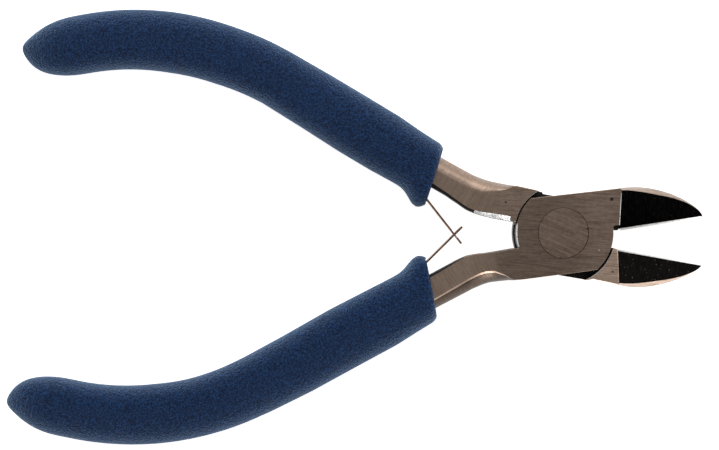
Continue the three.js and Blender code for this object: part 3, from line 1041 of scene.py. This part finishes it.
def grip_outside(half, name):
    """The sleeve's skin: squarish sections, a slanted and flared mouth, and a rounded, swung tail."""
    around = 128
    exponent = 2 / GRIP_SQUARENESS
    rings = []
    for distance, lip in grip_rows(half):
        tail = max(0, 1 - (half["grip_tail"] - distance) / TAIL_ROUNDING)
        taper = (1 - tail ** TAIL_POWERS[0]) ** TAIL_POWERS[1]
        inner, outer = along_table(half["grip"], distance)
        flange_place = (distance - half["mouth"] - FLANGE_SETBACK) / FLANGE_SPREAD
        flange = half["flange"] * math.exp(-flange_place ** 2)
        ring = []
        for k in range(around):
            angle = 2 * math.pi * k / around
            c, s = math.cos(angle), math.sin(angle)
            shrink = lip * lerp(LIP_DROP, INNER_LIP, smoothstep(0.2, 0.9, c))
            reach = (inner + flange if c > 0 else outer) - shrink
            sideways = math.copysign(abs(c) ** exponent, c) * reach * taper
            sideways -= TAIL_SWING * tail ** TAIL_SWING_POWER
            upwards = math.copysign(abs(s) ** exponent, s) * (GRIP_HALF_THICKNESS - shrink) * taper
            near_mouth = max(0, 1 - (distance - half["mouth"]) / MOUTH_SLANT_FADE)
            slant = half["mouth_slant"] * sideways * near_mouth
            x, y, _ = handle_point(distance - slant, sideways)
            point = Vector((x, y, MID_Z + upwards))
            uneven = noise.noise(point * 0.22) * 0.06 + noise.noise(point * 0.9) * 0.025
            ring.append(point + Vector((0, 0, math.copysign(uneven, s))) * abs(s) * taper * (1 - lip))
        rings.append(ring)
    return rings_to_object(name, rings)


def socket_cutter(half):
    """Room for the tang, close round it."""
    rings = []
    for k in range(81):
        distance = lerp(6, TANG_END + 1, k / 80)
        inner, outer = along_table(half["tang"], distance)
        shoulder = along_table(half["shoulder"], distance)[0]
        x, _, _ = handle_point(distance, 0)
        height = half_thickness(x) + SOCKET_GAP
        crest = math.radians(half["crest"])
        side = []
        for step in range(13):
            angle = crest * (step / 6 - 1)
            offset = shoulder * (1 - math.cos(angle)) / (1 - math.cos(crest))
            side.append((-outer - SOCKET_GAP + offset, height * math.sin(angle) / math.sin(crest)))
        section = side + [(inner + SOCKET_GAP, height), (inner + SOCKET_GAP, -height)]
        ring = []
        for offset, z in section:
            x, y, _ = handle_point(distance, offset)
            ring.append((x, y, MID_Z + z))
        rings.append(ring)
    return rings_to_object("socket", rings)


def spring_room():
    """Room for the leaf: along the tang, flaring towards the mouth where the leaf swings."""
    corners = [(6, 2), (6, 7.9), (14.2, 5.3), (20.4, 3.45), (30, 3.45), (30, 2)]
    outline = [handle_point(distance, offset)[:2] for distance, offset in corners]
    height = LEAF_WIDTH / 2 + 0.15
    return prism("spring_room", outline, MID_Z - height, MID_Z + height)


def grip(half, name, material, body, node):
    """A sleeve with its socket and the leaf's room cut out."""
    piece = grip_outside(half, name)
    dress(piece, [material])
    carve(piece, [socket_cutter(half), spring_room()])
    return settle(piece, half, body, "grip_vinyl", node, sharp=35)


# ---- The tool -----------------------------------------------------------------------------------

black = black_steel("painted_shade_steel")
bright = painted_highlight_steel("painted_highlight_land")


def steel_set(half, name):
    turn = -math.degrees(HALF_OPENING) * half["side"]
    ground = ground_steel(f"{name}_ground", 3, half, marks=half["marks"])
    facet = facet_steel(f"{name}_facet", turn + 90, half["facet_painted_shade"])
    # Copies of the ground steel, darker as painted shade on the rounded shoulder and lighter as a painted
    # highlight on its edges
    shoulder = ground_steel(f"{name}_shoulder", 3, half, tint=half["shoulder_painted_shade"])
    crest = ground_steel(f"{name}_crest", 3, half, tint=half["crest_painted_highlight"])
    return [ground, facet, black, bright, shoulder, crest]


rivet_marks = [((3.95, 0.75, THICKNESS), 0.16, DARK_MARK), ((4.1, -0.45, THICKNESS), 0.12, DARK_MARK)]
rivet_material = ground_steel("rivet_ground", 22, tint=0.8, marks=rivet_marks)
spring_material = spring_steel("spring_strip")
vinyl = grip_vinyl("navy_vinyl")

forged_half(FRONT, "lower_lever", "front_lever", "front_half", steel_set(FRONT, "front"))
forged_half(REAR, "upper_lever", "rear_lever", "rear_half", steel_set(REAR, "rear"))
pivot_rivet(rivet_material)


def slotted(s, w):
    """Whether the lower leaf has metal at s along it and w across."""
    if SLOT_START < s < FRONT["leaf_reach"] - SLOT_BAR:
        return abs(w) > 1
    return abs(w) < 1.5 if s > FRONT["leaf_reach"] - TIP_STEP else True


def tongued(s, w):
    """Whether the upper leaf has metal at s along it and w across."""
    if s > NECK_END:
        return abs(w) < 1.5
    return abs(w) < 0.6 if s > NECK_START else True


strip_set = [spring_material, bright]
leaf_spring(FRONT, "lower_leaf_strip", slotted, (0, 0), strip_set,
            ("lower_spring_base", "lower_spring_blade"))
leaf_spring(REAR, "upper_leaf_strip", tongued, (SLOT_START, NECK_END), strip_set,
            ("upper_spring_base", "upper_spring_blade"))
spring_rivet(FRONT, "lower_leaf_rivet", rivet_material, "front_lever", "lower_spring_rivet")
spring_rivet(REAR, "upper_leaf_rivet", rivet_material, "rear_lever", "upper_spring_rivet")
grip(FRONT, "lower_sleeve", vinyl, "front_lever", "lower_grip")
grip(REAR, "upper_sleeve", vinyl, "rear_lever", "upper_grip")

# ---- Floor, light and camera --------------------------------------------------------------------

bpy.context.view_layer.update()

scene = bpy.context.scene
scene.view_settings.view_transform = "Standard"


def pale_floor():
    size = 3.0
    z = cad_box[0].z - 0.0002
    mesh = bpy.data.meshes.new("floor")
    corners = [(-size, -size, z), (size, -size, z), (size, size, z), (-size, size, z)]
    mesh.from_pydata(corners, [], [(0, 1, 2, 3)])
    floor = bpy.data.objects.new("floor", mesh)
    scene.collection.objects.link(floor)
    material, tree, shader = new_material("pale_floor")
    shader.inputs["Base Color"].default_value = (0.85, 0.85, 0.85, 1)
    shader.inputs["Roughness"].default_value = 0.9
    shader.inputs["Emission Color"].default_value = (1, 1, 1, 1)
    shader.inputs["Emission Strength"].default_value = 0.9
    mesh.materials.append(material)


def soft_light(name, place, target, size, power):
    lamp = bpy.data.lights.new(name, "AREA")
    lamp.shape = "DISK"
    lamp.size = size
    lamp.energy = power
    made = bpy.data.objects.new(name, lamp)
    made.location = place
    made.rotation_euler = (Vector(target) - Vector(place)).to_track_quat("-Z", "Y").to_euler()
    scene.collection.objects.link(made)


def soft_world(overhead, horizon):
    """White light from all round, dimmer overhead than near the horizon, dimmest over the -Y side."""
    world = bpy.data.worlds.new("studio")
    world.use_nodes = True
    tree = world.node_tree
    direction = add(tree, "SeparateXYZ", {0: add(tree, "TexCoord").outputs["Generated"]})
    up = direction.outputs["Z"]
    overhead = remap(tree, direction.outputs["Y"], -0.5, -0.2, 0.15 * overhead, overhead)
    limits = {"Value": up, "From Min": 0.1, "From Max": 0.38, "To Min": horizon, "To Max": overhead}
    strength = add(tree, "MapRange", limits, interpolation_type="SMOOTHSTEP").outputs["Result"]
    tree.links.new(strength, tree.nodes["Background"].inputs["Strength"])
    tree.nodes["Background"].inputs["Color"].default_value = (1, 1, 1, 1)
    scene.world = world


def camera():
    view_centre = (-33.67, 0.89)
    height = 400
    view_width = 118.6
    data = bpy.data.cameras.new("camera")
    data.sensor_width = 36
    data.lens = data.sensor_width * height / view_width
    data.clip_start = 0.01
    made = bpy.data.objects.new("camera", data)
    made.location = (view_centre[0] * MM, view_centre[1] * MM, (THICKNESS + height) * MM)
    made.rotation_euler = (0, 0, math.radians(0.73))
    scene.collection.objects.link(made)
    scene.camera = made


pale_floor()
soft_world(0.36, 1.0)
middle = (cad_box[0] + cad_box[1]) / 2
soft_light("key", (middle.x + 0.05, middle.y + 0.5, 0.36), middle, 0.55, 1.9)
soft_light("low_fill", (middle.x + 0.05, middle.y - 0.5, 0.06), middle, 0.18, 0.8)
camera()
